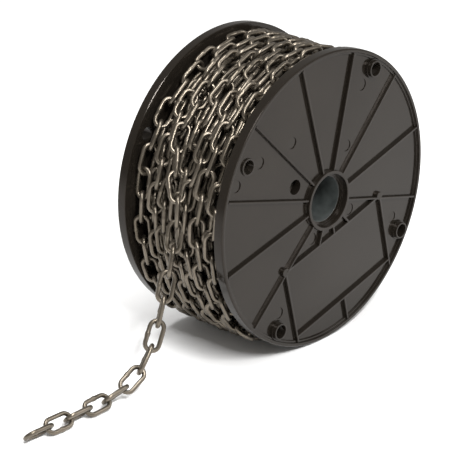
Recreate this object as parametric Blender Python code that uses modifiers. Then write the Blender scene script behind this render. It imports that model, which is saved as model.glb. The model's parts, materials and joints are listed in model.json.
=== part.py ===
"""Plastic reel wound with welded steel chain, its free end hanging off the front and lying on the floor.

Metres, +Z up, floor at z = 0. The reel's axle lies along X and the chain's free end points to -Y.
The two reel halves are one moulding used twice, so they share a mesh.
"""

import math

import bmesh
import bpy
from mathutils import Matrix, Vector

# Driving dimensions of the reel
REEL_RADIUS = 0.100
REEL_WIDTH = 0.092
RIM_WIDTH = 0.007
WEB_THICKNESS = 0.0047
DISH = 0.0018
REEL_SIDES = 72
REEL_TURN = math.radians(15)
TOUCH_GAP = 0.0003

# Rim, seen in section
RIM_EDGE = 0.0006
RIM_LAND = 0.0026
RIM_STEP_HEIGHT = 0.0010
RIM_STEP_WIDTH = 0.0015

# Barrel that the chain is wound on, and the tube that the spindle goes through
BARREL_RADIUS = 0.0298
BARREL_WALL = 0.0025
BORE_RADIUS = 0.0153
BORE_TUBE_WALL = 0.0022

# Hub ring, with a stepped mouth to the bore
HUB_RADIUS = 0.0202
HUB_MOUTH_RADIUS = 0.0180
HUB_LEDGE_RADIUS = 0.0162
HUB_PROUD = 0.0025
HUB_MOUTH_DEPTH = 0.0040
HUB_LEDGE_DEPTH = 0.0054

# Ribs, label pocket, bosses and holes, in the reel's own upright frame
RIB_THICKNESS = 0.0015
RIB_HEIGHT = 0.0022
RIB_SINK = 0.0004
RIB_START = 0.0190
RIB_END = 0.0968
FULL_RIB_ANGLES = [0, 30, 60, 90, 120, 150, 180, 210, 330]
STUB_RIB_ANGLES = [240, 270, 300]
POCKET_TOP = -0.0265
POCKET_BOTTOM = -0.0790
POCKET_LEFT = -0.0490
POCKET_RIGHT = 0.0490
POCKET_CUTS = 3
PIN_RADIUS = 0.0028
PIN_SIDES = 12
BOSS_RADIUS = 0.0057
BOSS_HOLE_RADIUS = 0.0046
BOSS_COLLAR_RADIUS = 0.0066
BOSS_COLLAR_HEIGHT = 0.0017
BOSS_SIDES = 20
BOSSES = {
    "upper_left": ((-0.0608, 0.0610), 0.0013),
    "upper_right": ((0.0640, 0.0640), 0.0038),
    "lower_left": ((-0.0640, -0.0640), 0.0038),
    "lower_right": ((0.0640, -0.0640), 0.0038),
}
ANCHOR_HOLE_PLACE = (-0.0252, 0.0248)
ANCHOR_HOLE_RADIUS = 0.0050
CUTTER_REACH = 0.0030

# Chain: nominal 3 mm wire and 16 mm pitch
WIRE_RADIUS = 0.0015
PITCH = 0.0160
LINK_WIDTH = 0.0120
LINK_PLAY = 0.0005
LINK_BEND_STEPS = 6

# Chain wound on the barrel: a plain core for the hidden layers, and on it the outer half of each link in the
# outer layer, which is fused to the core by its feet. Under the reel the outer layer hangs slack.
CORE_RADIUS = 0.0893
CORE_SIDES = 30
OUTER_RADIUS = 0.0905
WOUND_WIRE_RADIUS = 0.0018
WOUND_WIRE_CORNERS = [30, 150, 270]
WOUND_WIRE_LIFT = 0.0005
UPPER_SIDE_HALF = 0.0066
SHOULDER_HALF = 0.0098
SHOULDER_SHARE = 0.6
TIP_HALF = 0.0105
FOOT_HALF = 0.0112
FOOT_DEPTH = 0.0020
RAISED_TIP = 0.0030
PRESS_STEP = 0.0010
PRESS_STEPS = 6
SLACK = [
    (-120, 0.0030),
    (-85, 0.0026),
    (-57, 0.0070),
    (-40, 0.0055),
    (-25, 0.0025),
    (-5, 0.0000),
    (130, 0.0006),
    (160, 0.0015),
    (210, 0.0015),
    (240, 0.0030),
]

# Turns of the outer layer, from the near flange to the far one: each row gives x at the stations' angles, in
# degrees from the front, up over the top and down the back
STATION_ANGLES = [-60, -25, 0, 30, 50, 70, 90, 130, 200]
OUTER_TURNS = [
    [0.0260, 0.0270, 0.0290, 0.0320, 0.0300, 0.0280, 0.0255, 0.0245, 0.0225],
    [0.0170, 0.0155, 0.0160, 0.0200, 0.0200, 0.0200, 0.0155, 0.0145, 0.0125],
    [0.0080, 0.0060, 0.0050, 0.0100, 0.0120, 0.0095, 0.0050, 0.0045, 0.0030],
    [-0.0020, -0.0030, -0.0010, 0.0010, 0.0000, -0.0005, -0.0050, -0.0055, -0.0060],
    [-0.0120, -0.0135, -0.0135, -0.0115, -0.0120, -0.0145, -0.0150, -0.0150, -0.0150],
    [-0.0205, -0.0210, -0.0205, -0.0200, -0.0204, -0.0224, -0.0250, -0.0250, -0.0240],
    [-0.0330, -0.0336, -0.0330, -0.0325, -0.0320, -0.0320, -0.0336, -0.0336, -0.0333],
]

# The near turns come out of the core beside the near flange and go back in where the free end's own turn
# crosses them, on its way over to the far flange. Rows are (angle, x, radius).
NEAR_START = [(-105, 0.0290, 0.0900)]
NEAR_TURNS = 4
NEAR_LAST_STATIONS = 3
NEAR_END = [(14, -0.0125, 0.0875), (24, -0.0110, 0.0850)]
CROSSING = [(20, -0.0018, 0.0936), (32, -0.0088, 0.0921)]
FAR_END = [(250, -0.0320, 0.0880)]

# Route of the free end from its tip to the winding, measured from the axle's foot on the floor
TAIL_ROUTE = [
    (0.0088, -0.2306, 0.0047),
    (0.0098, -0.2000, 0.0047),
    (0.0099, -0.1700, 0.0049),
    (0.0098, -0.1530, 0.0065),
    (0.0094, -0.1380, 0.0128),
    (0.0087, -0.1272, 0.0238),
    (0.0077, -0.1195, 0.0365),
    (0.0066, -0.1130, 0.0505),
    (0.0055, -0.1070, 0.0650),
    (0.0043, -0.1015, 0.0800),
    (0.0031, -0.0964, 0.0950),
    (0.0023, -0.0943, 0.1080),
    (0.0020, -0.0926, 0.1200),
]
TAIL_LINKS = 13
ROUTE_STEPS = 24

# Worked out from the above
HALF_WIDTH = REEL_WIDTH / 2
WEB_INSIDE = HALF_WIDTH - RIM_WIDTH
WEB_OUTSIDE = WEB_INSIDE + WEB_THICKNESS
RIM_LEDGE_RADIUS = REEL_RADIUS - RIM_LAND
RIM_FOOT_RADIUS = RIM_LEDGE_RADIUS - RIM_STEP_WIDTH
AXLE_HEIGHT = REEL_RADIUS * math.cos(math.pi / REEL_SIDES)


def material(name, color, roughness, metallic):
    made = bpy.data.materials.new(name)
    made.use_nodes = True
    shader = made.node_tree.nodes["Principled BSDF"]
    shader.inputs["Base Color"].default_value = (*color, 1)
    shader.inputs["Roughness"].default_value = roughness
    shader.inputs["Metallic"].default_value = metallic
    return made


def new_object(name, data, collection):
    made = bpy.data.objects.new(name, data)
    collection.objects.link(made)
    return made


def turned(name, profile, sides, collection):
    """Closed profile of (radius, height) turned about Z, with a flat side facing +X, +Y, -X and -Y."""
    mesh = bpy.data.meshes.new(name)
    half_step = math.pi / sides
    points = [(r * math.cos(half_step), r * math.sin(half_step), z) for r, z in profile]
    edges = [(i, (i + 1) % len(points)) for i in range(len(points))]
    mesh.from_pydata(points, edges, [])
    made = new_object(name, mesh, collection)
    screw = made.modifiers.new("Turn", "SCREW")
    screw.axis = "Z"
    screw.angle = 2 * math.pi
    screw.steps = sides
    screw.render_steps = sides
    screw.use_merge_vertices = True
    screw.merge_threshold = 0.00001
    return made


def evaluated_mesh(made, name):
    """Mesh of an object with its modifiers, or of a curve."""
    bpy.context.view_layer.update()
    mesh = bpy.data.meshes.new_from_object(made.evaluated_get(bpy.context.evaluated_depsgraph_get()))
    mesh.name = name
    return mesh


def as_helper(made):
    """Marks an object that only cuts or adds to another one."""
    made.hide_render = True
    made.display_type = "WIRE"
    return made


def dish(radius):
    """How far the web stands out at a radius: it rises evenly from the rim to the hub."""
    share = (RIM_FOOT_RADIUS - radius) / (RIM_FOOT_RADIUS - HUB_RADIUS)
    return DISH * max(0, share)


def wall(name, start, end, collection, cuts=0):
    """Rib on the web from start to end, both (x, y), its top following the web's dish."""
    run = Vector(end) - Vector(start)
    middle = (Vector(start) + Vector(end)) / 2
    bm = bmesh.new()
    bmesh.ops.create_cube(bm, size=1)
    lengthwise = [e for e in bm.edges if abs(e.verts[0].co.x - e.verts[1].co.x) > 0.5]
    if cuts:
        bmesh.ops.subdivide_edges(bm, edges=lengthwise, cuts=cuts, use_grid_fill=True)
    depth = RIB_HEIGHT + RIB_SINK
    bmesh.ops.scale(bm, vec=(run.length, RIB_THICKNESS, depth), verts=bm.verts)
    bmesh.ops.translate(bm, vec=(0, 0, WEB_OUTSIDE + RIB_HEIGHT - depth / 2), verts=bm.verts)
    turn = Matrix.Rotation(math.atan2(run.y, run.x), 4, "Z")
    bm.transform(Matrix.Translation((middle.x, middle.y, 0)) @ turn)
    for vert in bm.verts:
        vert.co.z += dish(vert.co.xy.length)
    mesh = bpy.data.meshes.new(name)
    bm.to_mesh(mesh)
    bm.free()
    return as_helper(new_object(name, mesh, collection))


def post(name, place, radius, bottom, top, sides, collection):
    """Round post or cutter standing on (x, y)."""
    bm = bmesh.new()
    bmesh.ops.create_cone(
        bm, cap_ends=True, segments=sides, radius1=radius, radius2=radius, depth=top - bottom
    )
    mesh = bpy.data.meshes.new(name)
    bm.to_mesh(mesh)
    bm.free()
    made = as_helper(new_object(name, mesh, collection))
    made.location = (place[0], place[1], (bottom + top) / 2)
    return made


def polar(radius, degrees):
    angle = math.radians(degrees)
    return (radius * math.cos(angle), radius * math.sin(angle))


def reel_profile():
    """Section of one reel half, down its outer side, in to the bore and back up."""
    step_height = WEB_OUTSIDE + RIM_STEP_HEIGHT
    hub_top = HALF_WIDTH + HUB_PROUD
    mouth_floor = hub_top - HUB_MOUTH_DEPTH
    ledge_floor = hub_top - HUB_LEDGE_DEPTH
    barrel_inside = BARREL_RADIUS - BARREL_WALL
    tube_outside = BORE_RADIUS + BORE_TUBE_WALL
    return [
        (REEL_RADIUS - RIM_LAND, HALF_WIDTH),
        (REEL_RADIUS - RIM_EDGE, HALF_WIDTH),
        (REEL_RADIUS, HALF_WIDTH - RIM_EDGE),
        (REEL_RADIUS, WEB_INSIDE + RIM_EDGE),
        (REEL_RADIUS - RIM_EDGE, WEB_INSIDE),
        (RIM_FOOT_RADIUS, WEB_INSIDE),
        (BARREL_RADIUS, WEB_INSIDE + dish(BARREL_RADIUS)),
        (BARREL_RADIUS, TOUCH_GAP / 2),
        (barrel_inside, TOUCH_GAP / 2),
        (barrel_inside, WEB_INSIDE + dish(barrel_inside)),
        (tube_outside, WEB_INSIDE + DISH),
        (tube_outside, TOUCH_GAP / 2),
        (BORE_RADIUS, TOUCH_GAP / 2),
        (BORE_RADIUS, ledge_floor),
        (HUB_LEDGE_RADIUS, ledge_floor),
        (HUB_LEDGE_RADIUS, mouth_floor),
        (HUB_MOUTH_RADIUS, mouth_floor),
        (HUB_MOUTH_RADIUS, hub_top),
        (HUB_RADIUS, hub_top),
        (HUB_RADIUS, WEB_OUTSIDE + DISH),
        (RIM_FOOT_RADIUS, WEB_OUTSIDE),
        (RIM_FOOT_RADIUS, step_height),
        (RIM_LEDGE_RADIUS, step_height),
    ]


def add_ribs(collection):
    for angle in FULL_RIB_ANGLES:
        wall(f"rib_{angle}", polar(RIB_START, angle), polar(RIB_END, angle), collection)
    for angle in STUB_RIB_ANGLES:
        end = polar(POCKET_TOP / math.sin(math.radians(angle)), angle)
        wall(f"stub_{angle}", polar(RIB_START, angle), end, collection)


def add_label_pocket(collection):
    left_foot = -math.sqrt(RIB_END**2 - POCKET_LEFT**2)
    right_foot = -math.sqrt(RIB_END**2 - POCKET_RIGHT**2)
    runs = {
        "pocket_top": ((POCKET_LEFT, POCKET_TOP), (POCKET_RIGHT, POCKET_TOP)),
        "pocket_bottom": ((POCKET_LEFT, POCKET_BOTTOM), (POCKET_RIGHT, POCKET_BOTTOM)),
        "pocket_left": ((POCKET_LEFT, POCKET_TOP), (POCKET_LEFT, left_foot)),
        "pocket_right": ((POCKET_RIGHT, POCKET_TOP), (POCKET_RIGHT, right_foot)),
        "pocket_foot": ((0, POCKET_BOTTOM), (0, -RIB_END)),
    }
    for name, (start, end) in runs.items():
        wall(name, start, end, collection, POCKET_CUTS)
    for name, x in (("pin_left", POCKET_LEFT), ("pin_right", POCKET_RIGHT)):
        lift = dish(math.hypot(x, POCKET_TOP))
        bottom = WEB_OUTSIDE + lift - RIB_SINK
        top = WEB_OUTSIDE + lift + RIB_HEIGHT
        post(name, (x, POCKET_TOP), PIN_RADIUS, bottom, top, PIN_SIDES, collection)


def add_bosses(adders, cutters):
    """Tubes near the rim. All but the upper left one stand in a low collar and rise above the ribs."""
    for name, (place, height) in BOSSES.items():
        bottom = WEB_OUTSIDE - RIB_SINK
        top = WEB_OUTSIDE + height
        post("boss_" + name, place, BOSS_RADIUS, bottom, top, BOSS_SIDES, adders)
        if height > BOSS_COLLAR_HEIGHT:
            collar_top = WEB_OUTSIDE + BOSS_COLLAR_HEIGHT
            post("collar_" + name, place, BOSS_COLLAR_RADIUS, bottom, collar_top, BOSS_SIDES, adders)
        low = WEB_INSIDE - CUTTER_REACH
        high = top + CUTTER_REACH
        post("boss_hole_" + name, place, BOSS_HOLE_RADIUS, low, high, BOSS_SIDES, cutters)


def reel_half_mesh(scratch, adders, cutters):
    body = turned("reel_half", reel_profile(), REEL_SIDES, scratch)
    add_ribs(adders)
    add_label_pocket(adders)
    add_bosses(adders, cutters)
    low = WEB_INSIDE - CUTTER_REACH
    high = WEB_OUTSIDE + DISH + CUTTER_REACH
    post("anchor_hole", ANCHOR_HOLE_PLACE, ANCHOR_HOLE_RADIUS, low, high, BOSS_SIDES, cutters)
    for label, operation, operands in (("Add", "UNION", adders), ("Cut", "DIFFERENCE", cutters)):
        step = body.modifiers.new(label, "BOOLEAN")
        step.operation = operation
        step.operand_type = "COLLECTION"
        step.collection = operands
        step.solver = "EXACT"
    mesh = evaluated_mesh(body, "reel_half")
    bpy.data.objects.remove(body)
    return mesh


def core_profile():
    """Section of the plain core under the outer layer."""
    inner = (BARREL_RADIUS + TOUCH_GAP) / math.cos(math.pi / CORE_SIDES)
    half = WEB_INSIDE - TOUCH_GAP
    return [(CORE_RADIUS, half), (CORE_RADIUS, -half), (inner, -half), (inner, half)]


def add_line(curve, points):
    """Straight-sided spline through the points."""
    spline = curve.splines.new("POLY")
    spline.points.add(len(points) - 1)
    for point, place in zip(spline.points, points):
        point.co = (*place, 1)
    return spline


def link_curve():
    """One welded link: a round wire bent to a long loop in the XY plane, its length along X."""
    curve = bpy.data.curves.new("link", "CURVE")
    curve.dimensions = "3D"
    curve.bevel_depth = WIRE_RADIUS
    curve.bevel_resolution = 2
    bend = LINK_WIDTH / 2 - WIRE_RADIUS
    straight = PITCH + LINK_PLAY + 2 * WIRE_RADIUS - 2 * bend
    points = []
    for end in (1, -1):
        for step in range(LINK_BEND_STEPS + 1):
            angle = math.pi * (step / LINK_BEND_STEPS - 0.5)
            x = end * (straight / 2 + bend * math.cos(angle))
            points.append((x, end * bend * math.sin(angle), 0))
    add_line(curve, points).use_cyclic_u = True
    return curve


def catmull_rom(a, b, c, d, t):
    return 0.5 * (
        2 * b + (c - a) * t + (2 * a - 5 * b + 4 * c - d) * t * t + (3 * b - a - 3 * c + d) * t**3
    )


def smooth_route(points):
    """Fine points along a smooth curve through the route's own points."""
    held = [Vector(p) for p in points]
    held = [2 * held[0] - held[1]] + held + [2 * held[-1] - held[-2]]
    fine = []
    for i in range(len(held) - 3):
        for step in range(ROUTE_STEPS):
            fine.append(catmull_rom(*held[i : i + 4], step / ROUTE_STEPS))
    fine.append(held[-2])
    return fine


def chain_joints(route, count=1000):
    """Points on the route, one chain pitch apart in a straight line, starting at its start."""
    joints = [route[0]]
    for a, b in zip(route, route[1:]):
        while (b - joints[-1]).length >= PITCH and len(joints) <= count:
            low, high = 0.0, 1.0
            for _ in range(40):
                middle = (low + high) / 2
                if (a.lerp(b, middle) - joints[-1]).length < PITCH:
                    low = middle
                else:
                    high = middle
            joints.append(a.lerp(b, high))
    return joints


def link_matrix(start, end, turn):
    """Places a link between two joints, turned about its own length from lying on its side edge."""
    along = (end - start).normalized()
    across = Vector((1, 0, 0))
    across = (across - across.dot(along) * along).normalized()
    normal = along.cross(across)
    frame = Matrix((along, across, normal)).transposed().to_4x4()
    return Matrix.Translation((start + end) / 2) @ frame @ Matrix.Rotation(turn, 4, "X")


def slack(angle):
    """How far the outer layer stands off at an angle, in degrees from the front up over the top."""
    angle = (angle + 120) % 360 - 120
    for (low, low_slack), (high, high_slack) in zip(SLACK, SLACK[1:]):
        if low <= angle <= high:
            return low_slack + (high_slack - low_slack) * (angle - low) / (high - low)


def on_winding(angle, x, radius):
    turn = math.radians(angle)
    return Vector((x, -radius * math.cos(turn), radius * math.sin(turn)))


def winding_angle(place):
    return math.degrees(math.atan2(place.z, -place.y))


def winding_radius(place):
    return math.hypot(place.y, place.z)


def turn_rows():
    """Rows of (angle, x, radius) for all outer turns, one after the other round the reel."""
    rows = []
    for number, turn in enumerate(OUTER_TURNS):
        for angle, x in zip(STATION_ANGLES, turn):
            rows.append((360 * number + angle, x, OUTER_RADIUS + slack(angle)))
    return rows


def near_route():
    split = NEAR_TURNS * len(STATION_ANGLES) + NEAR_LAST_STATIONS
    end = [(360 * NEAR_TURNS + angle, x, radius) for angle, x, radius in NEAR_END]
    rows = NEAR_START + turn_rows()[:split] + end
    return [on_winding(*row) for row in smooth_route(rows)]


def far_route(start):
    """Route of the free end's own turn and the ones after it, from where the free end leaves the winding."""
    split = NEAR_TURNS * len(STATION_ANGLES) + NEAR_LAST_STATIONS + 1
    first = (winding_angle(start), start.x, winding_radius(start))
    turns = [(angle - 360 * NEAR_TURNS, x, radius) for angle, x, radius in turn_rows()[split:]]
    last_turn = 360 * (len(OUTER_TURNS) - NEAR_TURNS - 1)
    end = [(last_turn + angle, x, radius) for angle, x, radius in FAR_END]
    rows = [first] + CROSSING + turns + end
    return [on_winding(*row) for row in smooth_route(rows)]


def foot(place):
    """Point in the core straight below a place."""
    angle = winding_angle(place)
    return on_winding(angle, place.x, CORE_RADIUS + slack(angle) - FOOT_DEPTH)


def outer_half(start, end, turn):
    """Points of a wound link's upper side and of its two ends, down to their feet in the core."""
    place = link_matrix(start, end, turn)
    aside = -math.copysign(LINK_WIDTH / 2 - WIRE_RADIUS, turn)
    points = []
    for sign in (-1, 1):
        corner = place @ Vector((sign * UPPER_SIDE_HALF, aside, 0))
        tip = place @ Vector((sign * TIP_HALF, 0, 0))
        stands_off = winding_radius(tip) - CORE_RADIUS - slack(winding_angle(tip))
        if stands_off > RAISED_TIP:
            shoulder = place @ Vector((sign * SHOULDER_HALF, SHOULDER_SHARE * aside, 0))
            leg = [corner, shoulder, tip, foot(place @ Vector((sign * TIP_HALF, -aside / 2, 0)))]
        else:
            leg = [corner, foot(place @ Vector((sign * FOOT_HALF, 0, 0)))]
        points += leg[::-1] if sign < 0 else leg
    return points


def line_samples(points, steps=6):
    return [a.lerp(b, step / steps) for a, b in zip(points, points[1:]) for step in range(steps + 1)]


def wound_links(free_samples, free_joint):
    """Points of every link in the outer layer. One under the free end is pressed down until it is clear."""
    least_gap = WIRE_RADIUS + WOUND_WIRE_RADIUS + WOUND_WIRE_LIFT + 1.5 * TOUCH_GAP
    links = []
    for route, hooked in ((near_route(), 0), (far_route(free_joint), 1)):
        joints = chain_joints(route)
        for index, (start, end) in enumerate(zip(joints, joints[1:])):
            turn = math.pi / 4 if index % 2 == 0 else -math.pi / 4
            inward = Vector((0, -start.y - end.y, -start.z - end.z)).normalized()
            for press in range(PRESS_STEPS + 1):
                shift = inward * press * PRESS_STEP
                points = outer_half(start + shift, end + shift, turn)
                samples = line_samples(points)
                gap = min((a - b).length for a in samples for b in free_samples)
                if index < hooked or gap > least_gap:
                    links.append(points)
                    break
    return links


def wound_wire_mesh(runs, scratch):
    """Mesh of closed three-sided wires, one along each run of points, their flat side facing outward. They
    are drawn unrolled, with the height above the axle as Z, and their corners are then rolled up again."""
    section = bpy.data.curves.new("wound_wire_section", "CURVE")
    corners = [polar(WOUND_WIRE_RADIUS, angle) for angle in WOUND_WIRE_CORNERS]
    add_line(section, [(x, y + WOUND_WIRE_LIFT, 0) for x, y in corners]).use_cyclic_u = True
    curve = bpy.data.curves.new("wound_links", "CURVE")
    curve.dimensions = "3D"
    curve.twist_mode = "Z_UP"
    curve.bevel_mode = "OBJECT"
    curve.bevel_object = new_object("wound_wire_section", section, scratch)
    curve.use_fill_caps = True
    for run in runs:
        first = winding_angle(run[0])
        angles = [first + (winding_angle(place) - first + 180) % 360 - 180 for place in run]
        add_line(curve, [
            (place.x, math.radians(angle) * CORE_RADIUS, winding_radius(place))
            for place, angle in zip(run, angles)
        ])
    drawn = new_object("wound_links", curve, scratch)
    mesh = evaluated_mesh(drawn, "wound_links")
    for helper in (drawn, curve.bevel_object):
        bpy.data.objects.remove(helper)
    for vert in mesh.vertices:
        x, arc, height = vert.co
        vert.co = on_winding(math.degrees(arc / CORE_RADIUS), x, height)
    bm = bmesh.new()
    bm.from_mesh(mesh)
    bmesh.ops.remove_doubles(bm, verts=bm.verts, dist=0.000001)
    bmesh.ops.recalc_face_normals(bm, faces=bm.faces)
    bm.to_mesh(mesh)
    bm.free()
    return mesh


def winding_mesh(free_samples, free_joint, scratch):
    """Plain core with the outer halves of the outer layer's links fused to it, round the axle along X."""
    body = turned("winding_core", core_profile(), CORE_SIDES, scratch)
    core_mesh = evaluated_mesh(body, "winding_core")
    core_mesh.transform(Matrix.Rotation(math.pi / 2, 4, "Y"))
    for vert in core_mesh.vertices:
        if winding_radius(vert.co) > CORE_RADIUS / 2:
            angle = winding_angle(vert.co)
            vert.co = on_winding(angle, vert.co.x, CORE_RADIUS + slack(angle))
    bpy.data.objects.remove(body)
    core = new_object("winding_core", core_mesh, scratch)
    links = wound_links(free_samples, free_joint)
    wires = new_object("wound_links", wound_wire_mesh(links, scratch), scratch)
    step = core.modifiers.new("Fuse", "BOOLEAN")
    step.operation = "UNION"
    step.object = wires
    step.solver = "EXACT"
    step.use_self = True
    mesh = evaluated_mesh(core, "chain_winding")
    for helper in (core, wires):
        bpy.data.objects.remove(helper)
    return mesh


def build():
    for old in list(bpy.data.objects):
        bpy.data.objects.remove(old)
    scene_collection = bpy.context.scene.collection
    reel_of_chain = bpy.data.collections.new("reel_of_chain")
    helpers = bpy.data.collections.new("reel_helpers")
    adders = bpy.data.collections.new("reel_adders")
    cutters = bpy.data.collections.new("reel_cutters")
    scene_collection.children.link(reel_of_chain)
    scene_collection.children.link(helpers)
    helpers.children.link(adders)
    helpers.children.link(cutters)

    plastic = material("reel_plastic", (0.045, 0.040, 0.037), 0.35, 0)
    steel = material("chain_steel", (0.46, 0.42, 0.37), 0.32, 1)

    ground = new_object("ground_point", None, reel_of_chain)
    axle = new_object("axle", None, reel_of_chain)
    axle.parent = ground
    axle.location.z = AXLE_HEIGHT
    axle.rotation_euler.x = REEL_TURN

    half_mesh = reel_half_mesh(helpers, adders, cutters)
    half_mesh.materials.clear()
    half_mesh.materials.append(plastic)
    half_mesh.shade_smooth()
    half_mesh.set_sharp_from_angle(angle=math.radians(30))
    for name, side in (("flange_front", 1), ("flange_back", -1)):
        flange = new_object(name, half_mesh, reel_of_chain)
        flange.parent = axle
        flange.rotation_euler = (math.pi / 2, 0, side * math.pi / 2)

    curve = link_curve()
    curve.materials.append(steel)
    joints = chain_joints(smooth_route(TAIL_ROUTE), TAIL_LINKS)
    link_points = [point.co.xyz for point in curve.splines[0].points]
    to_axle = Vector((0, 0, -AXLE_HEIGHT))
    free_samples = []
    for index in range(TAIL_LINKS):
        turn = -math.pi / 4 if index % 2 == 0 else math.pi / 4
        link = new_object(f"link_{index + 1:02d}", curve, reel_of_chain)
        link.parent = ground
        place = link_matrix(joints[index], joints[index + 1], turn)
        link.matrix_local = place
        corners = [place @ point + to_axle for point in link_points]
        free_samples += line_samples(corners + corners[:1])

    mesh = winding_mesh(free_samples, joints[-1] + to_axle, helpers)
    mesh.materials.clear()
    mesh.materials.append(steel)
    mesh.shade_smooth()
    mesh.set_sharp_from_angle(angle=math.radians(30))
    winding = new_object("chain_winding", mesh, reel_of_chain)
    winding.parent = ground
    winding.location.z = AXLE_HEIGHT
    tail_reach = 2 * WIRE_RADIUS + LINK_PLAY / 2 - joints[0].y
    ground.location.y = (tail_reach - AXLE_HEIGHT) / 2


build()
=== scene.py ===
"""Black plastic reel wound with welded steel chain, its free end hanging off and lying on the floor."""

import json
import math
import random

import bmesh
import bpy
import numpy as np
from mathutils import Euler, Matrix, Vector

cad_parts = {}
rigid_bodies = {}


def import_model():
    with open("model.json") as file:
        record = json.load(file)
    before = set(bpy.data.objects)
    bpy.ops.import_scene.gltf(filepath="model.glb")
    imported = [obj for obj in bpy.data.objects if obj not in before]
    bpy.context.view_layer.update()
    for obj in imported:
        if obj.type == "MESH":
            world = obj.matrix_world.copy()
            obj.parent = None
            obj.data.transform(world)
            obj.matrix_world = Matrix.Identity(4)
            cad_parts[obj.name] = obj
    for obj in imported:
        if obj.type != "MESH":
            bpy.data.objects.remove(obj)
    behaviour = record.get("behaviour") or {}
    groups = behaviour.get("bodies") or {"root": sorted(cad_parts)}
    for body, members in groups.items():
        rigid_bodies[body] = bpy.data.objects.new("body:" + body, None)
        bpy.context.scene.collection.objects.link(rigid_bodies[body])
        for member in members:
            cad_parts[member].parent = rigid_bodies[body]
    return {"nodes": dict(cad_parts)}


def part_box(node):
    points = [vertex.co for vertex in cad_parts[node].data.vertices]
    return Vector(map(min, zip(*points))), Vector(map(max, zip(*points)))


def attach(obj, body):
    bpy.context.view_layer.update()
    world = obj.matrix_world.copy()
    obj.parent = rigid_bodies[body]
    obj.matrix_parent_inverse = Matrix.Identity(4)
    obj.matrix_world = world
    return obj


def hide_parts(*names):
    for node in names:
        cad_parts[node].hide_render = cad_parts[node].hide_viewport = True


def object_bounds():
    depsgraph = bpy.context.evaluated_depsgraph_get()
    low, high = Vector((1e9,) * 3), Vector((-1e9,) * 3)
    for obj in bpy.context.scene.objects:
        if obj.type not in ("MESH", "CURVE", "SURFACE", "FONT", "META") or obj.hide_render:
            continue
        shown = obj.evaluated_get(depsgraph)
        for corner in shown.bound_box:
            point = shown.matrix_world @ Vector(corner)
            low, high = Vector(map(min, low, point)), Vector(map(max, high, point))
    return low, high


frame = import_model()
cad_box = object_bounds()

# Reel half: one injection moulding in black plastic, with the flange and its ribs on the outside and half of
# the barrel and of the spindle's tube on the inside. Its turned body comes first, with every corner rounded.
half_low, half_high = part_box("flange_front")
axle = Vector((0, (half_low.y + half_high.y) / 2, (half_low.z + half_high.z) / 2))
reel_radius = (half_high.z - half_low.z) / 2
hub_top = half_high.x
split_gap = half_low.x
reel_turn = math.radians(15)

hub_proud = 0.0025
rim_width = 0.007
web_thickness = 0.0047
web_dish = 0.0018
rim_land = 0.0026
rim_step_height = 0.0010
rim_step_width = 0.0015
barrel_radius = 0.0298
barrel_wall = 0.0025
bore_radius = 0.0153
bore_tube_wall = 0.0022
hub_radius = 0.0202
hub_mouth_radius = 0.0180
hub_ledge_radius = 0.0162
hub_mouth_depth = 0.0040
hub_ledge_depth = 0.0054
reel_sides = 144
smooth_below = math.radians(32)

half_width = hub_top - hub_proud
web_inside = half_width - rim_width
web_outside = web_inside + web_thickness
rim_ledge_radius = reel_radius - rim_land
rim_foot_radius = rim_ledge_radius - rim_step_width


def web_lift(radius):
    """How far the web stands out at a radius: it rises evenly from the rim to the hub."""
    share = (rim_foot_radius - radius) / (rim_foot_radius - hub_radius)
    return web_dish * max(0, share)


def rounded_outline(corners, steps=3):
    """Closed outline of (radius, height, rounding) corners, each rounding made of a few short chords."""
    outline = []
    for i, (r, z, rounding) in enumerate(corners):
        here = Vector((r, z))
        if rounding == 0:
            outline.append(here)
            continue
        before = (Vector(corners[i - 1][:2]) - here).normalized()
        after = (Vector(corners[(i + 1) % len(corners)][:2]) - here).normalized()
        for step in range(steps + 1):
            t = step / steps
            start = here + before * rounding
            end = here + after * rounding
            outline.append((1 - t) ** 2 * start + 2 * t * (1 - t) * here + t * t * end)
    return outline


def outward_mesh(name, verts, faces):
    """Mesh with every face turned outwards."""
    mesh = bpy.data.meshes.new(name)
    mesh.from_pydata(verts, [], faces)
    bm = bmesh.new()
    bm.from_mesh(mesh)
    bmesh.ops.recalc_face_normals(bm, faces=bm.faces)
    bm.to_mesh(mesh)
    bm.free()
    return mesh


def put_in_scene(name, data):
    made = bpy.data.objects.new(name, data)
    bpy.context.scene.collection.objects.link(made)
    return made


def turned_mesh(name, outline, sides):
    """Closed outline of (radius, height) points turned about Z."""
    count = len(outline)
    verts = []
    for side in range(sides):
        angle = 2 * math.pi * side / sides
        verts += [(r * math.cos(angle), r * math.sin(angle), z) for r, z in outline]
    faces = []
    for side in range(sides):
        for i in range(count):
            near, far = side * count, (side + 1) % sides * count
            following = (i + 1) % count
            faces.append((near + i, near + following, far + following, far + i))
    return outward_mesh(name, verts, faces)


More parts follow.
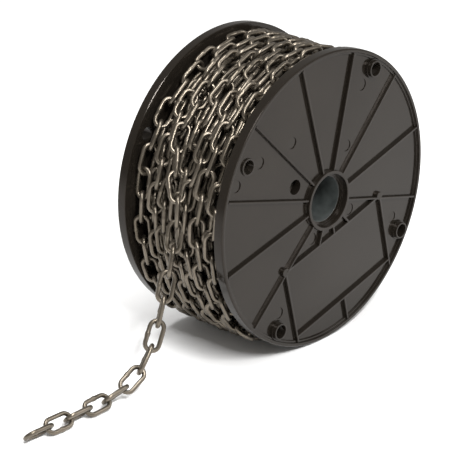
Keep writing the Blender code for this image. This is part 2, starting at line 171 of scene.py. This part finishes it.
step_top = web_outside + rim_step_height
barrel_inside = barrel_radius - barrel_wall
tube_outside = bore_radius + bore_tube_wall
reel_corners = [
    (rim_ledge_radius, half_width, 0.0004),
    (reel_radius, half_width, 0.0012),
    (reel_radius, web_inside, 0.0007),
    (rim_foot_radius, web_inside, 0),
    (barrel_radius, web_inside + web_lift(barrel_radius), 0.0006),
    (barrel_radius, split_gap, 0),
    (barrel_inside, split_gap, 0),
    (barrel_inside, web_inside + web_lift(barrel_inside), 0.0006),
    (tube_outside, web_inside + web_dish, 0.0006),
    (tube_outside, split_gap, 0),
    (bore_radius, split_gap, 0.0002),
    (bore_radius, hub_top - hub_ledge_depth, 0.0003),
    (hub_ledge_radius, hub_top - hub_ledge_depth, 0.0001),
    (hub_ledge_radius, hub_top - hub_mouth_depth, 0.0002),
    (hub_mouth_radius, hub_top - hub_mouth_depth, 0.0002),
    (hub_mouth_radius, hub_top, 0.0004),
    (hub_radius, hub_top, 0.0004),
    (hub_radius, web_outside + web_dish, 0.0005),
    (rim_foot_radius, web_outside, 0.0003),
    (rim_foot_radius, step_top, 0.0003),
    (rim_ledge_radius, step_top, 0.0003),
]
reel_body = put_in_scene("reel_body", turned_mesh("reel_body", rounded_outline(reel_corners), reel_sides))

# Ribs, label pocket, bosses and holes of the reel half, in its own upright frame. They are joined to the
# turned body or cut from it, as the mould would leave them, with rounded tops on the ribs and bosses. The
# shallow round marks are where the mould's pins pushed the half out.
rib_thickness = 0.0015
rib_height = 0.0022
rib_sink = 0.0006
rib_edge = 0.0004
rib_start = 0.0190
rib_end = 0.0968
rib_angles = [0, 30, 60, 90, 120, 150, 180, 210, 330]
stub_rib_angles = [240, 270, 300]
pocket_top = -0.0265
pocket_bottom = -0.0790
pocket_half_width = 0.0490
edge_bulge = 0.3
pin_radius = 0.0028
boss_radius = 0.0057
boss_hole_radius = 0.0046
boss_collar_radius = 0.0066
boss_collar_height = 0.0017
boss_edge = 0.0003
collar_edge = 0.0002
bosses = [
    ((-0.0608, 0.0610), 0.0013),
    ((0.0640, 0.0640), 0.0038),
    ((-0.0640, -0.0640), 0.0038),
    ((0.0640, -0.0640), 0.0038),
]
anchor_hole_place = (-0.0252, 0.0248)
anchor_hole_radius = 0.0050
cutter_reach = 0.003
ejector_mark_radius = 0.0040
ejector_mark_depth = 0.0005
ejector_mark_places = [
    (-0.0503, 0.0577), (-0.0732, 0.0537), (-0.0201, 0.0551), (0.0521, 0.0580), (0.0274, 0.0258),
    (-0.0597, -0.0530), (0.0600, -0.0513), (0.0195, -0.0195), (-0.0191, -0.0191),
]
added_shapes = bpy.data.collections.new("reel_added_shapes")
cut_shapes = bpy.data.collections.new("reel_cut_shapes")


def keep_for_boolean(name, mesh, collection):
    collection.objects.link(bpy.data.objects.new(name, mesh))


def moulded_rib(name, start, end, pieces=6):
    """Rib on the web from start to end, both (x, y), with a rounded top that follows the web's dish."""
    half = rib_thickness / 2
    bevel = edge_bulge * rib_edge
    section = [(-half, -rib_sink), (half, -rib_sink), (half, rib_height - rib_edge)]
    section += [(half - bevel, rib_height - bevel), (half - rib_edge, rib_height)]
    section += [(rib_edge - half, rib_height), (bevel - half, rib_height - bevel)]
    section += [(-half, rib_height - rib_edge)]
    start, end = Vector(start), Vector(end)
    run = (end - start).normalized()
    across = Vector((-run.y, run.x))
    verts = []
    for piece in range(pieces + 1):
        foot = start.lerp(end, piece / pieces)
        for aside, height in section:
            place = foot + across * aside
            verts.append((place.x, place.y, web_outside + height + web_lift(place.length)))
    count = len(section)
    faces = [tuple(range(count - 1, -1, -1)), tuple(range(pieces * count, (pieces + 1) * count))]
    for piece in range(pieces):
        for i in range(count):
            near, far, following = piece * count, (piece + 1) * count, (i + 1) % count
            faces.append((near + i, near + following, far + following, far + i))
    keep_for_boolean(name, outward_mesh(name, verts, faces), added_shapes)


def round_shape(name, place, radius, bottom, top, collection, edge=0.0, sides=40):
    """Post or cutter standing on (x, y), its top edge rounded by edge."""
    outline = [(0.0, bottom), (radius, bottom), (radius, top - edge)]
    if edge:
        outline += [(radius - edge_bulge * edge, top - edge_bulge * edge), (radius - edge, top)]
    outline.append((0.0, top))
    around = [(math.cos(2 * math.pi * i / sides), math.sin(2 * math.pi * i / sides)) for i in range(sides)]
    bm = bmesh.new()
    rings = []
    for r, z in outline[1:-1]:
        rings.append([bm.verts.new((place[0] + r * x, place[1] + r * y, z)) for x, y in around])
    bm.faces.new(list(reversed(rings[0])))
    bm.faces.new(rings[-1])
    for low, high in zip(rings, rings[1:]):
        for i in range(sides):
            j = (i + 1) % sides
            bm.faces.new((low[i], low[j], high[j], high[i]))
    mesh = bpy.data.meshes.new(name)
    bm.to_mesh(mesh)
    bm.free()
    keep_for_boolean(name, mesh, collection)


def polar(radius, degrees):
    angle = math.radians(degrees)
    return (radius * math.cos(angle), radius * math.sin(angle))


for angle in rib_angles:
    moulded_rib(f"rib_{angle}", polar(rib_start, angle), polar(rib_end, angle))
for angle in stub_rib_angles:
    reach = pocket_top / math.sin(math.radians(angle))
    moulded_rib(f"stub_{angle}", polar(rib_start, angle), polar(reach, angle))
pocket_foot = -math.sqrt(rib_end**2 - pocket_half_width**2)
for side in (-1, 1):
    corner = (side * pocket_half_width, pocket_top)
    moulded_rib(f"pocket_side_{side}", corner, (corner[0], pocket_foot))
    foot = web_outside + web_lift(math.hypot(*corner))
    low, top = foot - rib_sink, foot + rib_height
    round_shape(f"pocket_pin_{side}", corner, pin_radius, low, top, added_shapes, rib_edge)
for name, height in (("pocket_top", pocket_top), ("pocket_bottom", pocket_bottom)):
    moulded_rib(name, (-pocket_half_width, height), (pocket_half_width, height), pieces=12)
moulded_rib("pocket_foot", (0, pocket_bottom), (0, -rib_end))

for number, (place, height) in enumerate(bosses):
    low, top = web_outside - rib_sink, web_outside + height
    round_shape(f"boss_{number}", place, boss_radius, low, top, added_shapes, boss_edge)
    if height > boss_collar_height:
        collar_top = web_outside + boss_collar_height
        round_shape(f"collar_{number}", place, boss_collar_radius, low, collar_top, added_shapes, collar_edge)
    low, top = web_inside - cutter_reach, top + cutter_reach
    round_shape(f"boss_hole_{number}", place, boss_hole_radius, low, top, cut_shapes)
low, top = web_inside - cutter_reach, web_outside + web_dish + cutter_reach
round_shape("anchor_hole", anchor_hole_place, anchor_hole_radius, low, top, cut_shapes)
for number, place in enumerate(ejector_mark_places):
    foot = web_outside + web_lift(math.hypot(*place)) - ejector_mark_depth
    round_shape(f"ejector_mark_{number}", place, ejector_mark_radius, foot, foot + cutter_reach, cut_shapes)

for label, operation, operands in (("Add", "UNION", added_shapes), ("Cut", "DIFFERENCE", cut_shapes)):
    step = reel_body.modifiers.new(label, "BOOLEAN")
    step.operation = operation
    step.operand_type = "COLLECTION"
    step.collection = operands
    step.solver = "EXACT"
bpy.context.view_layer.update()
half_mesh = bpy.data.meshes.new_from_object(reel_body.evaluated_get(bpy.context.evaluated_depsgraph_get()))
half_mesh.name = "reel_half"
bpy.data.objects.remove(reel_body)
for collection in (added_shapes, cut_shapes):
    for shape in list(collection.objects):
        bpy.data.objects.remove(shape)
    bpy.data.collections.remove(collection)
half_mesh.shade_smooth()
half_mesh.set_sharp_from_angle(angle=smooth_below)


# Finish of the moulding: satin black plastic, a little uneven in colour where the melt flowed, with a fine
# orange-peel surface. The wall of the spindle's bore is a lighter, cooler grey and rougher. The chain has
# both effects too.
def effect_group(name, outputs, inputs):
    """Empty shader node group with named inputs and outputs."""
    group = bpy.data.node_groups.new(name, "ShaderNodeTree")
    for label, kind, default in inputs:
        socket = group.interface.new_socket(label, in_out="INPUT", socket_type=kind)
        socket.default_value = default
    for label, kind in outputs:
        group.interface.new_socket(label, in_out="OUTPUT", socket_type=kind)
    return group, group.nodes.new("NodeGroupInput"), group.nodes.new("NodeGroupOutput")


def colour_drift_effect():
    """Two colours mixed by soft cloudy noise, and the same noise as a mask."""
    group, given, result = effect_group(
        "colour_drift",
        [("Color", "NodeSocketColor"), ("Mask", "NodeSocketFloat")],
        [
            ("First Color", "NodeSocketColor", (1, 1, 1, 1)),
            ("Second Color", "NodeSocketColor", (1, 1, 1, 1)),
            ("Scale", "NodeSocketFloat", 20.0),
            ("Detail", "NodeSocketFloat", 3.0),
        ],
    )
    nodes, links = group.nodes, group.links
    place = nodes.new("ShaderNodeTexCoord")
    clouds = nodes.new("ShaderNodeTexNoise")
    spread = nodes.new("ShaderNodeMapRange")
    spread.inputs["From Min"].default_value = 0.32
    spread.inputs["From Max"].default_value = 0.68
    blend = nodes.new("ShaderNodeMix")
    blend.data_type = "RGBA"
    links.new(place.outputs["Object"], clouds.inputs["Vector"])
    links.new(given.outputs["Scale"], clouds.inputs["Scale"])
    links.new(given.outputs["Detail"], clouds.inputs["Detail"])
    links.new(clouds.outputs["Fac"], spread.inputs["Value"])
    links.new(spread.outputs["Result"], blend.inputs["Factor"])
    links.new(given.outputs["First Color"], blend.inputs["A"])
    links.new(given.outputs["Second Color"], blend.inputs["B"])
    links.new(blend.outputs["Result"], result.inputs["Color"])
    links.new(spread.outputs["Result"], result.inputs["Mask"])
    return group


def fine_surface_effect():
    """Fine uneven surface: a bump normal, and a roughness that drifts between two values."""
    group, given, result = effect_group(
        "fine_surface",
        [("Normal", "NodeSocketVector"), ("Roughness", "NodeSocketFloat")],
        [
            ("Grain Scale", "NodeSocketFloat", 900.0),
            ("Grain Depth", "NodeSocketFloat", 0.00003),
            ("Smooth", "NodeSocketFloat", 0.3),
            ("Rough", "NodeSocketFloat", 0.4),
            ("Patch Scale", "NodeSocketFloat", 60.0),
        ],
    )
    nodes, links = group.nodes, group.links
    place = nodes.new("ShaderNodeTexCoord")
    grain = nodes.new("ShaderNodeTexNoise")
    grain.inputs["Detail"].default_value = 2.0
    patches = nodes.new("ShaderNodeTexNoise")
    patches.inputs["Detail"].default_value = 4.0
    bump = nodes.new("ShaderNodeBump")
    bump.inputs["Strength"].default_value = 1.0
    drift = nodes.new("ShaderNodeMapRange")
    drift.inputs["From Min"].default_value = 0.35
    drift.inputs["From Max"].default_value = 0.65
    links.new(place.outputs["Object"], grain.inputs["Vector"])
    links.new(place.outputs["Object"], patches.inputs["Vector"])
    links.new(given.outputs["Grain Scale"], grain.inputs["Scale"])
    links.new(given.outputs["Patch Scale"], patches.inputs["Scale"])
    links.new(given.outputs["Grain Depth"], bump.inputs["Distance"])
    links.new(grain.outputs["Fac"], bump.inputs["Height"])
    links.new(patches.outputs["Fac"], drift.inputs["Value"])
    links.new(given.outputs["Smooth"], drift.inputs["To Min"])
    links.new(given.outputs["Rough"], drift.inputs["To Max"])
    links.new(bump.outputs["Normal"], result.inputs["Normal"])
    links.new(drift.outputs["Result"], result.inputs["Roughness"])
    return group


colour_drift = colour_drift_effect()
fine_surface = fine_surface_effect()


def finished_material(name, colours, drift_scale, grain, roughness, metallic):
    """Material with drifting colour and a fine surface: grain (scale, depth), roughness (least, most)."""
    made = bpy.data.materials.new(name)
    made.use_nodes = True
    nodes, links = made.node_tree.nodes, made.node_tree.links
    shader = nodes["Principled BSDF"]
    shader.inputs["Metallic"].default_value = metallic
    drift = nodes.new("ShaderNodeGroup")
    drift.node_tree = colour_drift
    drift.inputs["First Color"].default_value = (*colours[0], 1)
    drift.inputs["Second Color"].default_value = (*colours[1], 1)
    drift.inputs["Scale"].default_value = drift_scale
    surface = nodes.new("ShaderNodeGroup")
    surface.node_tree = fine_surface
    surface.inputs["Grain Scale"].default_value = grain[0]
    surface.inputs["Grain Depth"].default_value = grain[1]
    surface.inputs["Smooth"].default_value = roughness[0]
    surface.inputs["Rough"].default_value = roughness[1]
    links.new(drift.outputs["Color"], shader.inputs["Base Color"])
    links.new(surface.outputs["Roughness"], shader.inputs["Roughness"])
    links.new(surface.outputs["Normal"], shader.inputs["Normal"])
    return made


black_plastic = finished_material(
    "satin_black_plastic",
    colours=[(0.008, 0.0065, 0.005), (0.011, 0.009, 0.007)],
    drift_scale=18,
    grain=(1400, 0.000005),
    roughness=(0.12, 0.18),
    metallic=0,
)
plastic_shader = black_plastic.node_tree.nodes["Principled BSDF"]
plastic_shader.inputs["Specular Tint"].default_value = (1, 0.9, 0.82, 1)
plastic_shader.inputs["Specular IOR Level"].default_value = 0.195
# Bore wall: a lighter, cooler grey than the plastic, and rougher.
grey_bore = finished_material(
    "grey_bore_wall",
    colours=[(0.024, 0.028, 0.027), (0.052, 0.058, 0.056)],
    drift_scale=130,
    grain=(500, 0.00006),
    roughness=(0.40, 0.60),
    metallic=0,
)
bore_wall_reach = bore_radius + 0.0001
half_mesh.materials.clear()
half_mesh.materials.append(black_plastic)
half_mesh.materials.append(grey_bore)
for polygon in half_mesh.polygons:
    polygon.material_index = int(polygon.center.xy.length < bore_wall_reach)
for node, side in (("flange_back", -1), ("flange_front", 1)):
    own_turn = Euler((math.pi / 2, 0, side * math.pi / 2)).to_matrix().to_4x4()
    placed_mesh = half_mesh.copy()
    placed_mesh.transform(Matrix.Translation(axle) @ Matrix.Rotation(reel_turn, 4, "X") @ own_turn)
    half = put_in_scene(f"reel_half_{node.split('_')[1]}", placed_mesh)
    flatter = half.modifiers.new("Even shading", "WEIGHTED_NORMAL")
    flatter.keep_sharp = True
    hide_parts(node)
    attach(half, "root")

# Link of the chain: 3 mm steel wire bent to a long loop and butt welded in the middle of one side, where the
# weld leaves a small swelling. One link's mesh is the pattern for every link of the winding and free end.
wire_radius = 0.0015
pitch = 0.0160
link_play = 0.0005
bend_radius = 0.0045
weld_stations = [(-0.0018, 1.0), (-0.0009, 1.15), (0.0, 1.19), (0.0009, 1.15), (0.0018, 1.0)]
link_straight = pitch + link_play + 2 * wire_radius - 2 * bend_radius


def link_pattern(wire_sides, bend_steps, with_weld):
    """Vertices and faces of one link lying in the XY plane, its length along X."""
    half = link_straight / 2
    stations = []
    if with_weld:
        for x, swelling in weld_stations:
            stations.append((x, -bend_radius, -math.pi / 2, wire_radius * swelling))
    for step in range(bend_steps + 1):
        angle = math.pi * (step / bend_steps - 0.5)
        out = (math.cos(angle), math.sin(angle))
        stations.append((half + bend_radius * out[0], bend_radius * out[1], angle, wire_radius))
    for step in range(bend_steps + 1):
        angle = math.pi * (step / bend_steps + 0.5)
        out = (math.cos(angle), math.sin(angle))
        stations.append((bend_radius * out[0] - half, bend_radius * out[1], angle, wire_radius))
    verts = []
    for x, y, angle, radius in stations:
        for side in range(wire_sides):
            around = 2 * math.pi * side / wire_sides
            out = radius * math.cos(around)
            verts.append((x + out * math.cos(angle), y + out * math.sin(angle), radius * math.sin(around)))
    faces = []
    for ring in range(len(stations)):
        for side in range(wire_sides):
            near, far = ring * wire_sides, (ring + 1) % len(stations) * wire_sides
            following = (side + 1) % wire_sides
            faces.append((near + side, far + side, far + following, near + following))
    return np.array(verts), np.array(faces)


def chain_piece(name, places, pattern, material):
    """One mesh of many links, each a copy of the pattern at its own place."""
    verts, faces = pattern
    padded = np.c_[verts, np.ones(len(verts))]
    all_verts = np.concatenate([(padded @ np.array(place).T)[:, :3] for place in places])
    all_faces = np.concatenate([faces + i * len(verts) for i in range(len(places))])
    mesh = bpy.data.meshes.new(name)
    mesh.from_pydata(all_verts.tolist(), [], all_faces.tolist())
    mesh.shade_smooth()
    mesh.materials.append(material)
    made = put_in_scene(name, mesh)
    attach(made, "root")
    return made


def smooth_curve(points, steps=24):
    """Fine points along a smooth curve through the given rows of numbers."""
    held = [2 * points[0] - points[1], *points, 2 * points[-1] - points[-2]]
    fine = []
    for a, b, c, d in zip(held, held[1:], held[2:], held[3:]):
        for step in range(steps):
            t = step / steps
            bend_two = 2 * a - 5 * b + 4 * c - d
            bend_three = 3 * b - a - 3 * c + d
            fine.append(0.5 * (2 * b + (c - a) * t + bend_two * t * t + bend_three * t**3))
    fine.append(points[-1])
    return np.array(fine)


def chain_joints(route, halvings=24):
    """Points on the route, one pitch apart in a straight line, from its start."""
    joints = [route[0]]
    for a, b in zip(route, route[1:]):
        while np.linalg.norm(b - joints[-1]) >= pitch:
            low, high = 0.0, 1.0
            for _ in range(halvings):
                middle = (low + high) / 2
                if np.linalg.norm(a + (b - a) * middle - joints[-1]) < pitch:
                    low = middle
                else:
                    high = middle
            joints.append(a + (b - a) * high)
    return joints


def link_place(start, end, turn):
    """Place of a link between two joints, turned about its own length from lying flat on the axle's line."""
    along = Vector(end - start).normalized()
    across = Vector((1, 0, 0))
    across = (across - across.dot(along) * along).normalized()
    normal = along.cross(across)
    own_frame = Matrix((along, across, normal)).transposed().to_4x4()
    return Matrix.Translation(Vector((start + end) / 2)) @ own_frame @ Matrix.Rotation(turn, 4, "X")


bright_steel = finished_material(
    "drawn_steel_wire",
    colours=[(0.100, 0.085, 0.065), (0.155, 0.133, 0.106)],
    drift_scale=55,
    grain=(1800, 0.00001),
    roughness=(0.27, 0.37),
    metallic=0.88,
)

# Course of the wound chain: seven slack turns a layer. Each row is one turn, from the near flange to the far
# one, and gives x in millimetres at the stations' angles, which count from the front, over the top and down
# the back. The slack is how far the turns of the outer layer hang off the winding at the same stations.
outer_radius = 0.0905
station_angles = [-60, -25, 0, 30, 50, 70, 90, 130, 200]
outer_turns = np.array([
    [26, 27, 29, 32, 30, 28, 25.5, 24.5, 22.5],
    [17, 15.5, 16, 20, 20, 20, 15.5, 14.5, 12.5],
    [8, 6, 5, 10, 12, 9.5, 5, 4.5, 3],
    [-2, -3, -1, 1, 0, -0.5, -5, -5.5, -6],
    [-12, -13.5, -13.5, -11.5, -12, -14.5, -15, -15, -15],
    [-20.5, -21, -20.5, -20, -20.4, -22.4, -25, -25, -24],
    [-33, -33.6, -33, -32.5, -32, -32, -33.6, -33.6, -33.3],
]) / 1000
station_slack = np.array([8.3, 2.5, 0, 0, 0, 0, 1.35, 2.1, 1.5]) / 1000
lowest_joint = cad_box[0][2] + 0.0058
side_period = 37
depth_period = 23
twist_period = 11


def on_winding(angle, x, radius):
    """Point on the wound chain, for an angle in degrees from the front, up over the top."""
    turn = np.radians(angle)
    y = axle.y - radius * np.cos(turn)
    z = axle.z + radius * np.sin(turn)
    return np.stack([x + 0 * turn, y, z], axis=-1)


def course_rows(turns, radius, slack_share):
    """Rows of (angle, x, radius) for turns that follow each other round the reel."""
    rows = []
    for number, turn in enumerate(turns):
        for angle, x, slack in zip(station_angles, turn, station_slack):
            rows.append((360 * number + angle, x, radius + slack_share * slack))
    return rows


def wandering(rng, count, size, period):
    """Smooth random values, about +-size, that drift over a number of steps."""
    steps = np.arange(count)
    total = np.zeros(count)
    for share, part in ((0.6, 1.0), (0.4, 0.47)):
        total += share * np.sin(2 * np.pi * steps / (period * part) + rng.uniform(0, 6.28))
    return size * total


def wound_joints(rows, rng, wander, start=None):
    """Joints of a chain that follows the rows, with small sideways and radial wandering. Where slack turns
    would hang below the floor, they lie on it."""
    fine = smooth_curve(np.array(rows))
    aside = wandering(rng, len(fine), wander, side_period)
    deep = wandering(rng, len(fine), 0.6 * wander, depth_period)
    route = on_winding(fine[:, 0], fine[:, 1] + aside, fine[:, 2] + deep)
    if start is not None:
        route[0] = start
    joints = chain_joints(route)
    for joint in joints:
        joint[2] = max(joint[2], lowest_joint)
    return joints


def twisted_places(joints, rng, wander, jitter, twists=((0, 0),)):
    """Places of the links between the joints, each a quarter turn from the last, give or take. Twists are
    pairs of an angle round the reel and the degrees that the chain is twisted there."""
    drift = wandering(rng, len(joints), wander, twist_period)
    twist_angles, twist_degrees = zip(*twists)
    around = 0
    angle_before = None
    places = []
    for i, (start, end) in enumerate(zip(joints, joints[1:])):
        middle = (start + end) / 2
        angle = math.degrees(math.atan2(middle[2] - axle.z, axle.y - middle[1]))
        if angle_before is not None and angle < angle_before - 180:
            around += 360
        angle_before = angle
        sign = 1 if i % 2 == 0 else -1
        turn = sign * 45 + drift[i] + rng.uniform(-jitter, jitter)
        turn += float(np.interp(angle + around, twist_angles, twist_degrees))
        flip = math.pi if rng.random() < 0.5 else 0
        place = link_place(start, end, math.radians(turn))
        places.append(place @ Matrix.Rotation(flip, 4, "Z"))
    return places


# Inner layers of the wound chain: the same chain, seen only in the dark gaps of the outer layer. Two layers
# are real links, the upper one lying in the valleys of the outer turns, and the rest is one plain core, its
# darker colour painted shade for the deep layers.
valley_step = 0.0056
inner_slack_share = 0.3
inner_wander = 0.0006
inner_twist_wander = 18
inner_twist_jitter = 8
upper_first_turn = 0.0343
valley_turns = (outer_turns[:-1] + outer_turns[1:]) / 2
valley_turns = np.vstack([np.full(len(station_angles), upper_first_turn), valley_turns])
plain_pattern = link_pattern(wire_sides=8, bend_steps=6, with_weld=False)
for name, turns, depth, seed in (("lower", outer_turns, 2, 9), ("upper", valley_turns, 1, 5)):
    rng = random.Random(seed)
    rows = course_rows(turns, outer_radius - depth * valley_step, inner_slack_share)
    joints = wound_joints(rows, rng, inner_wander)
    places = twisted_places(joints, rng, inner_twist_wander, inner_twist_jitter)
    chain_piece(f"wound_chain_{name}_layer", places, plain_pattern, bright_steel)

# Painted shade: the core is a darker, duller steel than the links, standing in for the shaded deep layers of
# chain.
painted_shade_core = finished_material(
    "painted_shade_steel_core",
    colours=[(0.055, 0.047, 0.038), (0.10, 0.086, 0.070)],
    drift_scale=160,
    grain=(500, 0.0004),
    roughness=(0.55, 0.75),
    metallic=0.5,
)
core_radius = outer_radius - 2 * valley_step - 0.0048
core_half = web_inside - 0.0004
core_clearance = 0.0003
core_sides = 96
core_smooth_below = math.radians(40)
core_outline = rounded_outline(
    [
        (core_radius, core_half, 0.001),
        (core_radius, -core_half, 0.001),
        (barrel_radius + core_clearance, -core_half, 0),
        (barrel_radius + core_clearance, core_half, 0),
    ]
)
core = put_in_scene("wound_chain_core", turned_mesh("wound_chain_core", core_outline, core_sides))
core.data.transform(Matrix.Translation(axle) @ Matrix.Rotation(math.pi / 2, 4, "Y"))
core.data.shade_smooth()
core.data.set_sharp_from_angle(angle=core_smooth_below)
core.data.materials.append(painted_shade_core)
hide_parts("chain_winding")
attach(core, "root")

# Free end: thirteen links that hang from the front of the winding and lie straight on the floor. Each one
# takes its place from its CAD link and gets the finer pattern.
fine_pattern = link_pattern(wire_sides=12, bend_steps=10, with_weld=True)
free_links = 13
free_end_joint = None
for number in range(1, free_links + 1):
    node = f"link_{number:02d}"
    corners = np.array([v.co for v in frame["nodes"][node].data.vertices])
    centre = corners.mean(axis=0)
    along, across, normal = np.linalg.svd(corners - centre, full_matrices=False)[2]
    if along[1] + along[2] < 0:
        along = -along
    normal = np.cross(along, across)
    place = Matrix(np.c_[along, across, normal].tolist()).to_4x4()
    place.translation = Vector(centre)
    link = chain_piece(f"free_{node}", [place], fine_pattern, bright_steel)
    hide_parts(node)
    free_end_joint = centre + along * pitch / 2

# Outer layer of the wound chain. The free end's own turn crosses over to the middle, lies over the turn
# before it and runs on to the far flange. The other turns come up by the near flange and dive where it
# crosses. Both chains' hidden ends tuck in under the turns beside them.
outer_wander = 0.0005
outer_twist_wander = 8
outer_twist_jitter = 6
crossed_turn = 4
crossed_station = 3
free_reach = axle.y - free_end_joint[1], free_end_joint[2] - axle.z
crossing_turn = [
    (math.degrees(math.atan2(free_reach[1], free_reach[0])), free_end_joint[0], math.hypot(*free_reach)),
    (20, -0.0050, 0.0935),
    (32, -0.0112, 0.0920),
]
outer_rows = course_rows(outer_turns, outer_radius, 1.0)
dive_row = crossed_turn * len(station_angles) + crossed_station
far_rows = crossing_turn + [(a - crossed_turn * 360, x, r) for a, x, r in outer_rows[dive_row + 1 :]]
far_rows += [(far_rows[-1][0] + 50, -0.0320, 0.0880), (far_rows[-1][0] + 100, -0.0300, 0.0830)]
near_rows = [(-150, 0.0330, 0.0830), (-105, 0.0290, 0.0900), *outer_rows[:dive_row]]
near_rows += [(near_rows[-1][0] + 14, -0.0125, 0.0875), (near_rows[-1][0] + 32, -0.0100, 0.0830)]
far_twists = [
    (0, 0), (410, 0), (421, 45), (435, 90), (722, 90), (733, 45), (748, 0), (771, 0), (781, 45), (791, 90)
]
near_twists = [(0, 0), (200, 90), (1100, 90), (1130, 0), (1200, 0)]
outer_pattern = link_pattern(wire_sides=10, bend_steps=8, with_weld=True)
for name, rows, start, twists, seed in (
    ("far", far_rows, free_end_joint, far_twists, 21),
    ("near", near_rows, None, near_twists, 34),
):
    rng = random.Random(seed)
    joints = wound_joints(rows, rng, outer_wander, start)
    places = twisted_places(joints, rng, outer_twist_wander, outer_twist_jitter, twists)
    turns = chain_piece(f"wound_chain_{name}_turns", places, outer_pattern, bright_steel)
    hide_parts("chain_winding")

# Floor, studio light and camera: a pale seamless floor, a dim room all round, a long tilted main light above
# the camera, a large soft one overhead and a dim one on the right that lights the floor, as for a catalogue.
floor_half = 6.0
floor_corners = [(-1, -1), (1, -1), (1, 1), (-1, 1)]
floor_mesh = bpy.data.meshes.new("studio_floor")
floor_mesh.from_pydata([(x * floor_half, y * floor_half, 0) for x, y in floor_corners], [], [(0, 1, 2, 3)])
floor = put_in_scene("studio_floor", floor_mesh)
floor_paint = bpy.data.materials.new("pale_floor")
floor_paint.use_nodes = True
floor_shader = floor_paint.node_tree.nodes["Principled BSDF"]
floor_shader.inputs["Base Color"].default_value = (0.9, 0.9, 0.9, 1)
floor_shader.inputs["Roughness"].default_value = 0.9
floor_mesh.materials.append(floor_paint)
floor.location.z = cad_box[0][2] - 0.0001

room = bpy.data.worlds.new("dim_room")
room.use_nodes = True
room.node_tree.nodes["Background"].inputs["Color"].default_value = (1, 0.98, 0.95, 1)
room.node_tree.nodes["Background"].inputs["Strength"].default_value = 0.4
bpy.context.scene.world = room
bpy.context.scene.view_settings.view_transform = "Standard"


def soft_light(name, place, power, width, height, roll=0):
    """Rectangular soft light that faces the middle of the reel, rolled about its beam by some degrees."""
    data = bpy.data.lights.new(name, "AREA")
    data.shape = "RECTANGLE"
    data.energy = power
    data.size = width
    data.size_y = height
    light = put_in_scene(name, data)
    light.location = place
    facing = (axle - Vector(place)).to_track_quat("-Z", "Y").to_matrix()
    light.rotation_euler = (facing @ Matrix.Rotation(math.radians(roll), 3, "Z")).to_euler()


soft_light("main_light", (0.955, -0.465, 1.145), 24, 0.12, 0.5, roll=-40)
soft_light("overhead_light", (0.05, -0.1, 1.5), 22, 0.7, 0.7)
soft_light("right_light", (0.95, 0.75, 0.8), 8, 0.7, 0.7)

camera_from_axle = Vector((0.816543, -0.928051, 0.484509))
camera_downward = 22.66
camera_turn = 42.81
camera_data = bpy.data.cameras.new("camera")
camera_data.sensor_width = 36
camera_data.lens = 159.5
camera_data.clip_start = 0.05
camera = put_in_scene("camera", camera_data)
camera.location = axle + camera_from_axle
camera.rotation_euler = (math.radians(90 - camera_downward), 0, math.radians(camera_turn))
bpy.context.scene.camera = camera
